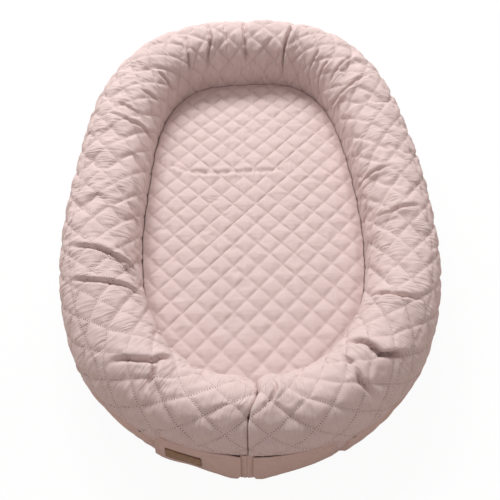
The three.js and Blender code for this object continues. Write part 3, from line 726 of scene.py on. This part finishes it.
# nothing leans in over the pad, which lifts out
cx, cy, ox, oy, _ = (v[:, None] for v in centre_line(stations))


def inward(points):
    """How far the roll's points stand in from its centre line, towards the pad."""
    return (cx - points[:, :, 0]) * ox + (cy - points[:, :, 1]) * oy


plain_side = roll_inner(stations)
over = np.maximum(inward(base) - plain_side[:, None] - 0.0003, 0)
base[:, :, 0] += over * ox
base[:, :, 1] += over * oy
normals = grid_normals(base)
roll_points = base + normals * (sharp - TIGHT_DRAW * tight + GATHER_HEIGHT * gathers)[:, :, None]
# how far the settled roll's inner side stands in, beside the pad's edge
beside = (roll_points[:, :, 2] > 0.016) & (roll_points[:, :, 2] < 0.0355) & (QUILT_ROW > 11)
roll_side = np.where(beside, inward(roll_points), 0).max(axis=1)
roll_side[1:-1] = np.maximum(roll_side[1:-1], np.maximum(roll_side[:-2], roll_side[2:]))
roll_side = soften(np.clip(roll_side, plain_side - 0.008, plain_side + 0.0005), (0,))
sewn = [*lattice_lines(ROLL_SPACING), straight_line(1, 0.0035, "seam")]
quilted = cotton("quilted_cotton", PINK, PINK_DEEP, sewn, pitch=0.0034, width=0.0008, hole=0.72, thread=0.60,
                 creases=(130, 14, 0.0010), tucked=True)
roll = new_object("roll_cover", tube_points(roll_points), tube_faces(columns, len(ROWS)), quilted)
# painted shade: the tuck attribute darkens the roll's colour low on its inner side beside the pad (first
# value) and in the valleys of its deep folds (second), standing in for their shadow
painted_fold_shade = 0.48 * smooth(-folds - sharp, 0.0034, 0.0105)
for name, values in {
    "cloth": flat3(stations[:, None], ROUND),
    "lattice": flat3(cell_a, cell_b),
    "tuck": flat3(0.9 * smooth(QUILT_ROW, 11.6, 13.0), painted_fold_shade),
    "seam": flat3(stations[:, None], seam_run),
}.items():
    put_attribute(roll, name, tube_points(values))
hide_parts("inner_roll", "cover_top_panel", "cover_side_panel",
            "roll_end_cap_left", "roll_end_cap_right")


# The pad: a loose cushion inside the roll
def pad_lattice(x, y):
    u, v = (x - PAD_AT[0]) / PAD_X, (y - PAD_AT[1]) / PAD_Y
    return (u + v) / 2, (u - v) / 2


def pad_edge(count):
    """Outline of the pad, against the roll's inner side, and its outward directions."""
    s = np.linspace(0, PLAN_LENGTH, count + 1)[:-1]
    x, y, ox, oy, _ = centre_line(s)
    inner = np.interp(s, stations, roll_side) + PAD_GAP
    outline = np.stack([x - ox * inner, y - oy * inner], axis=1)
    # rounds off the roll's meeting line
    ends = np.minimum(s, PLAN_LENGTH - s) < 0.03
    for _ in range(40):
        beside = np.roll(outline, 1, 0) + np.roll(outline, -1, 0)
        outline[ends] = (0.5 * outline + 0.25 * beside)[ends]
    t = np.roll(outline, -1, 0) - np.roll(outline, 1, 0)
    t /= np.linalg.norm(t, axis=1, keepdims=True)
    return outline, np.stack([-t[:, 1], t[:, 0]], axis=1)


def pad_fold(x, y):
    """A shallow crease across the pad, with the cloth gathered beside it."""
    path = np.array([(-0.150, 0.108), (-0.110, 0.085), (-0.070, 0.079), (-0.020, 0.081), (0.030, 0.082),
                     (0.075, 0.085)])
    valley = crease(x, y, path, 1.0, 0.0045)
    gather = np.exp(-(((y - np.interp(x, path[:, 0], path[:, 1])) / 0.012) ** 2)) * (x < 0.09)
    return 0.0022 * valley + 0.0005 * gather * np.sin(x * math.tau / 0.011 + 3 * np.sin(x * 90))


def pad_swell(x, y, d):
    """Height of the pad's top over its rim's middle; d is the distance from the outline."""
    a, b = pad_lattice(x, y)
    puff = (np.abs(np.sin(math.pi * a)) * np.abs(np.sin(math.pi * b))) ** 0.48
    rise = 1 - 0.05 * (1 - smooth(d, 0.0, PAD_ROUND))
    wave = 0.0012 * np.sin(9 * x + 5 * y + 1) * np.sin(7 * y - 4 * x + 2)
    slack = 0.0002 * (np.minimum(np.abs(wander(y, x, 0.012, 0.05, 50, 11)), 1.5) - 0.7) * puff
    relief = 0.0036 * puff - 0.0025 + wave + slack + pad_fold(x, y)
    return (PAD_TOP - PAD_LOW) * rise + relief * smooth(d, 0.0, 0.012)


def edge_distance(x, y, outline):
    """Distance of points inside the pad from its outline."""
    found = np.full(np.shape(x), np.inf)
    for px, py in outline[::6]:
        found = np.minimum(found, np.hypot(x - px, y - py))
    return found


def settle_pad(outline):
    """How far the pad's top cloth moves, on a grid along its stitched lines: (field, first a, first b)."""
    reach_a, reach_b = pad_lattice(*outline.T)
    low_a, low_b = math.floor(reach_a.min()) - 1, math.floor(reach_b.min()) - 1
    na = (math.ceil(reach_a.max()) + 1 - low_a) * PAD_SIM + 1
    nb = (math.ceil(reach_b.max()) + 1 - low_b) * PAD_SIM + 1
    ga, gb = np.meshgrid(low_a + np.arange(na) / PAD_SIM, low_b + np.arange(nb) / PAD_SIM, indexing="ij")
    x, y = PAD_AT[0] + (ga + gb) * PAD_X, PAD_AT[1] + (ga - gb) * PAD_Y
    turn = np.arctan2(outline[:, 1], outline[:, 0]) % math.tau
    order = np.argsort(turn)
    rim = np.interp(np.arctan2(y, x) % math.tau, turn[order], np.hypot(*outline.T)[order], period=math.tau)
    d = rim - np.hypot(x, y)
    inside = d > 0.004
    field = np.zeros((na, nb, 3))
    used = inside[:-1, :-1] & inside[1:, :-1] & inside[:-1, 1:] & inside[1:, 1:]
    i, j = np.nonzero(used)
    a = i * nb + j
    corners = np.stack([a + 1, a + nb + 1, a + nb, a], axis=1)
    ids, places = np.unique(corners, return_inverse=True)
    points = np.stack([x, y, pad_swell(x, y, d)], axis=2).reshape(-1, 3)[ids]
    start = points.copy()
    start[:, 2] += rng.normal(0, 0.00015, len(ids))
    on_line = (np.isclose(ga % 1, 0) | np.isclose(gb % 1, 0)).ravel()[ids]
    pin = np.where(on_line, 0.4, 0.02)
    pin = np.maximum(pin, 1 - smooth(d.ravel()[ids], 0.006, 0.016))
    faces = places.reshape(corners.shape).tolist()
    # it grows by a fiftieth
    settled = cloth_relax(start, points, faces, pin, 16, uniform_pressure_force=3.0,
                          bending_stiffness=0.2, shrink_min=-0.02)
    field.reshape(-1, 3)[ids] = np.clip(settled - points, -0.004, 0.004)
    field = 0.5 * field + 0.5 * soften(field)
    return field, low_a, low_b


def sample(field, low_a, low_b, a, b):
    i, j = (a - low_a) * PAD_SIM, (b - low_b) * PAD_SIM
    i, j = np.clip(i, 0, field.shape[0] - 1.001), np.clip(j, 0, field.shape[1] - 1.001)
    i0, j0 = i.astype(int), j.astype(int)
    f, g = (i - i0)[..., None], (j - j0)[..., None]
    return ((field[i0, j0] * (1 - f) + field[i0 + 1, j0] * f) * (1 - g)
            + (field[i0, j0 + 1] * (1 - f) + field[i0 + 1, j0 + 1] * f) * g)


def make_pad():
    around = 640
    outline, outward = pad_edge(around)
    middle = PAD_LOW + 0.0165
    centre = np.array([0.0, -0.003])
    inner = outline - outward * PAD_RIM

    def ring(share, z=0.0):
        return np.column_stack([centre + (inner - centre) * share, np.full(around, z)])

    top = np.stack([ring(share) for share in np.linspace(0.012, 1, 104)])
    d = edge_distance(top[:, :, 0], top[:, :, 1], outline)
    top[:, :, 2] = PAD_LOW + pad_swell(top[:, :, 0], top[:, :, 1], d)
    la, lb = pad_lattice(top[:, :, 0], top[:, :, 1])
    field, low_a, low_b = settle_pad(outline)
    top += sample(field, low_a, low_b, la, lb)
    top[:, :, 2] -= 0.0004 * ripple(off_lattice(la, lb, PAD_SPACING), 0.0017)
    start = top[-1, :, 2]
    sides = []
    for k in range(1, 13):
        c, h = math.cos(math.pi * k / 12), math.sin(math.pi * k / 12)
        c = math.copysign(abs(c) ** 0.5, c)
        z = middle + np.where(c > 0, start - middle, middle - PAD_LOW) * c
        out = PAD_RIM * h ** 0.5 - 0.0006 * math.exp(-(c / 0.12) ** 2)
        sides.append(np.column_stack([inner + outward * out, z]))
    bottom = [ring(share, PAD_LOW) for share in (0.9, 0.7, 0.45, 0.2, 0.04)]
    grid = np.concatenate([top, sides, bottom])
    points = tube_points(grid)
    look = cotton("quilted_pad", PINK, PINK_DEEP, lattice_lines(PAD_SPACING), creases=(24, 110, 0.0003),
                  pitch=0.0031, width=0.0008, hole=0.5, thread=1.0, tucked=True)
    pad = new_object("pad_cushion", points, tube_faces(len(grid), around), look, "pad")
    put_attribute(pad, "cloth", points * (1, 1, 0))
    x, y, _ = points.T
    put_attribute(pad, "lattice", flat3(*pad_lattice(x, y)))
    # painted shade: the tuck attribute darkens the pad's colour within 26 mm of its rim, standing in for the
    # shadow where it meets the roll
    painted_rim_shade = 1 - smooth(edge_distance(x, y, outline), 0.001, 0.026)
    put_attribute(pad, "tuck", flat3(0.8 * painted_rim_shade, 0 * painted_rim_shade))
    return pad


pad = make_pad()
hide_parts("pad_upper_cover", "pad_foam", "pad_lower_cover")


# The bands over the foot's lower side
def band_radius(angle, z):
    """Distance of the bands' outer face from their axis; left angles are below 0."""
    far = np.abs(angle)
    along = (far - LOBE_TIP) * FLOOR_R
    rise = (z - BASE_TOP) / (SLIT_Z - BASE_TOP)
    lobe = LOBE_SWELL * np.exp(-2 * (along / LOBE_LENGTH) ** 2)
    right = RIGHT_DRAWN * np.clip((far - 0.13) / 0.30, 0, 1) ** 0.8
    drawn = np.where(angle > 0, right, LEFT_DRAWN * ripple(far - 0.26, 0.085))
    leant = BAND_LEAN + LEFT_LEAN * (angle < 0) * smooth(far, 0.03, 0.08)
    return FLOOR_R - leant * rise + (lobe - drawn) * (1 - rise)


def on_arc(angle, radius, z):
    turn = MEETING_TURN + angle
    return np.stack(np.broadcast_arrays(radius * np.sin(turn), AXIS_Y - radius * np.cos(turn), z), axis=-1)


def band_face(angle, z, side):
    """Distance of a band's cloth from its arcs' axis: filled out by the roll, with soft waves."""
    share = (np.abs(angle) - BAND_START) / (BAND_END - BAND_START)
    up = (z - BAND_LOW) / (BAND_HIGH - BAND_LOW)
    full = np.sin(math.pi * np.clip(up, 0, 1)) * np.clip(np.minimum(share, 1 - share) * 9, 0, 1)
    radius = band_radius(angle, z) + 0.0012 * full
    from_label = np.abs(np.abs(angle) * FLOOR_R - LABEL_PLACE)
    full = full * (1 - 0.9 * (angle < 0) * (1 - smooth(from_label, 0.026, 0.034)))
    for wave, size, tilt, phase in BAND_WAVES:
        turns = (np.abs(angle) * FLOOR_R + tilt * z) / wave
        radius = radius + size * np.sin(math.tau * turns + phase + side) * full
    return radius


def make_band(side):
    """The left band, -1, or the right one, 1."""
    label = {-1: "left", 1: "right"}[side]
    angle = np.linspace(BAND_START, BAND_END, 150)[:, None]
    hem_low = BAND_HIGH - HEM
    z = np.append(np.linspace(BAND_LOW, hem_low, 40), np.linspace(hem_low, BAND_HIGH, 12)[1:])[None, :]
    share = (angle - BAND_START) / (BAND_END - BAND_START)
    # the inner bottom corner is rounded off
    corner = np.clip(1 - (angle - BAND_START) * FLOOR_R / 0.016, 0, 1)
    low = BAND_LOW + 0.016 * (1 - np.sqrt(1 - corner ** 2)) * 0.6
    z = low + (z - BAND_LOW) * (BAND_HIGH - low) / (BAND_HIGH - BAND_LOW)
    radius = band_face(side * angle, z, side)
    run = angle * FLOOR_R
    hem = smooth(z, hem_low - 0.0008, hem_low + 0.0006)
    radius = radius + HEM_EXTRA * hem - 0.0011 * ripple(z - hem_low, 0.0012)
    radius = radius - 0.0010 * ripple((share - 0.985) * 0.122, 0.002)
    radius = radius - 0.0007 * ripple((share - 0.95) * 0.122, 0.0015)
    face, cloth, thickness = on_arc(side * angle, radius, z), flat3(run, z), CLOTH_THICK + HEM_EXTRA * hem
    if side > 0:
        face, cloth, thickness = face[::-1], cloth[::-1], thickness[::-1]
    sewn = [straight_line(1, hem_low)] + [straight_line(0, BAND_END * FLOOR_R - t) for t in (0.0022, 0.0062)]
    look = cotton("band_" + label, PLAIN, PLAIN_DEEP, sewn, pitch=0.0026, width=0.0005,
                  creases=(40, 12, 0.0008))
    band = shell("foot_band_cloth_" + label, face, thickness, look, cloth)
    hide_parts("foot_band_" + label)


make_band(-1)
make_band(1)


# The plain strip round the roll's lower outer side, from band to band
def make_strip():
    first = ARC_R * BAND_END - 0.003
    s = np.linspace(first, PLAN_LENGTH - first, 620)
    rows = [("low", q, 0.0, 0) for q in np.linspace(1, 0.0, 26)]
    face = roll_base(s, rows)
    n = grid_normals(face, loop=False)
    up = np.linspace(0, 1, len(rows))
    knots = np.linspace(0, PLAN_LENGTH, 60)
    gathers = np.zeros((len(s), len(up)))
    for k, (wave, size) in enumerate(((0.021, 0.0007), (0.033, 0.0009), (0.013, 0.0004))):
        phase = rng.uniform(0, 6.3) + 2.2 * np.interp(s, knots, rng.normal(0, 1, len(knots)))
        gathers += size * np.sin(math.tau * s / wave + phase)[:, None] * up ** (1 + k)
    face = face + n * (gathers - 0.0014 * ripple((1 - up) * 0.062, 0.003))[:, :, None]
    east, south = face[:, :, 0], AXIS_Y - face[:, :, 1]
    reach, turn = np.hypot(east, south), np.arctan2(east, south) - MEETING_TURN
    past = np.abs(turn) - BAND_END
    behind = band_radius(turn, face[:, :, 2]) - 0.0026 + 0.02 * smooth(past, 0.004, 0.07)
    shrink = np.where(past < 0.07, np.minimum(reach, behind) / reach, 1.0)
    face[:, :, 0], face[:, :, 1] = east * shrink, AXIS_Y - south * shrink
    height = np.append(0, np.cumsum(np.linalg.norm(np.diff(face[0], axis=0), axis=1)))
    look = cotton("plain_strip", PLAIN, PLAIN_DEEP, creases=(45, 10, 0.0010))
    return shell("lower_strip", face, CLOTH_THICK, look, flat3(s[:, None], height))


strip = make_strip()
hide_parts("cover_lower_strip")


# The gusset between the bands, folded along its middle
def make_gusset():
    half = 0.0092
    across = np.linspace(-half, half, 33)[:, None]
    z = np.linspace(BAND_LOW, BAND_HIGH, 44)[None, :]
    radius = band_radius(BAND_START, z) - 0.0027 + 0 * across
    radius = radius + 0.0012 * (1 - np.abs(across) / half) - 0.0012 * ripple(across, 0.0009)
    radius = radius + 0.0003 * np.sin(math.tau * z / 0.019 + 1) * (np.abs(across) / half)
    angle = across / (FLOOR_R - 0.005)
    face = on_arc(angle, radius, z)
    look = cotton("gusset_cotton", PLAIN, PLAIN_DEEP, [straight_line(0, 0.0)], pitch=0.0026, width=0.0005)
    piece = shell("gusset_fold", face[::-1], GUSSET_THICK, look, flat3(across[::-1], z))
    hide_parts("foot_gusset")


make_gusset()


# The bare leather label
def make_label():
    middle, high, wide = (LABEL_LOW + LABEL_HIGH) / 2, (LABEL_HIGH - LABEL_LOW) / 2, LABEL_WIDTH / 2
    across, up = wide * np.linspace(-1, 1, 70)[:, None], high * np.linspace(-1, 1, 36)[None, :]
    # rounded corners
    corner = 0.0022
    x, y = np.broadcast_arrays(np.abs(across), np.abs(up))
    bite_x = np.maximum(x - (wide - corner), 0)
    bite = corner - np.sqrt(np.maximum(corner ** 2 - bite_x ** 2, 0))
    z = middle + np.sign(up) * np.minimum(y, high - bite * (y / high))
    angle = (across - LABEL_PLACE) / FLOOR_R
    rim = np.minimum(wide - x, high - y)
    radius = band_face(angle, z, -1) + LABEL_GAP + LABEL_THICK
    radius = radius - 0.0004 * ripple(rim - 0.0016, 0.0007) + 0.0003 * np.sin(90 * across) * (x / wide)
    face = on_arc(angle, radius, z)[::-1]
    piece = shell("leather_label", face, LABEL_THICK, leather(), flat3(across, z - middle)[::-1])
    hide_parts("label_patch")


make_label()


# The plain base under the roll and the pad
def make_base():
    around = 720
    s = np.linspace(0, PLAN_LENGTH, around + 1)[:-1]
    x, y, ox, oy, _ = centre_line(s)
    outline = np.stack([x, y], axis=1) + np.stack([ox, oy], axis=1) * (roll_size(s)[2] - 0.003)[:, None]
    arc = np.arctan2(outline[:, 0], -(outline[:, 1] - AXIS_Y)) - MEETING_TURN
    at_foot = (np.abs(arc) < BAND_END) & (outline[:, 1] < AXIS_Y)
    notch = 0.0065 * (1 - smooth(np.abs(arc), BAND_START, BAND_START + 0.012))
    outline[at_foot] = on_arc(arc, band_radius(arc, BASE_TOP) - 0.0015 - notch, 0.0)[at_foot][:, :2]
    top, low = 0.0028, 0.0002
    top_shares = (0.02, 0.15, 0.3, 0.45, 0.6, 0.72, 0.82, 0.9, 0.95, 0.985, 0.996)
    low_shares = (0.996, 0.985, 0.95, 0.9, 0.8, 0.65, 0.5, 0.3, 0.1, 0.02)
    # the top dips where it is sewn, close to its edge
    rings = [(t, top - 0.0004 * ripple(t - 0.97, 0.008)) for t in top_shares]
    rings += [(1.0, (top + low) / 2), *((t, low) for t in low_shares)]
    grid = np.stack([np.column_stack([outline * t, np.full(around, z)]) for t, z in rings])
    points = tube_points(grid)
    look = cotton("base_cotton", PLAIN, PLAIN_DEEP)
    piece = new_object("base_cloth", points, tube_faces(len(grid), around), look)
    put_attribute(piece, "cloth", points * (1, 1, 0))
    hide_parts("base_panel")


make_base()

# Zips: the solids' own shapes
tape, metal = zip_tape(), zip_metal()
for side in ("left", "right"):
    for part in ("upper_tape", "lower_tape", "slider", "inner_stop", "outer_stop"):
        zip_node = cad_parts["zip_" + part + "_" + side]
        zip_node.data.materials[0] = tape if "tape" in part else metal

# Surroundings
world = bpy.data.worlds.new("surroundings")
bpy.context.scene.world = world
air = Nodes(world)
air.put(air.tree.nodes["Background"].inputs["Color"], air.mix(air.seen(), AIR, WHITE))

floor_look = Nodes("floor")
seen = floor_look.seen()
floor_look.put(floor_look.shader.inputs["Base Color"], floor_look.mix(seen, FLOOR, (0.9, 0.9, 0.9)))
floor_look.put(floor_look.shader.inputs["Roughness"], 0.9)
white = floor_look.add("ShaderNodeEmission", {"Color": WHITE, "Strength": 1.0})
blend = floor_look.add("ShaderNodeMixShader", {
    0: floor_look.times(seen, 0.94), 1: floor_look.shader.outputs[0], 2: white.outputs[0]})
floor_look.put(floor_look.tree.nodes["Material Output"].inputs["Surface"], blend.outputs[0])
floor = new_object("floor", [(-6, -6, -0.0004), (6, -6, -0.0004), (6, 6, -0.0004), (-6, 6, -0.0004)],
                   [(0, 1, 2, 3)], floor_look.owner, body=None)

# One soft box, high up beyond the head, that faces the origin
lamp = bpy.data.lights.new("overhead", "AREA")
lamp.shape, lamp.size, lamp.size_y, lamp.energy = "RECTANGLE", 2.4, 0.8, 113
box = bpy.data.objects.new("overhead", lamp)
bpy.context.scene.collection.objects.link(box)
box.location = (-0.45, 2.35, 2.25)
box.rotation_mode = "QUATERNION"
box.rotation_quaternion = box.location.to_track_quat("Z", "Y")

bpy.context.scene.view_settings.view_transform = "Standard"
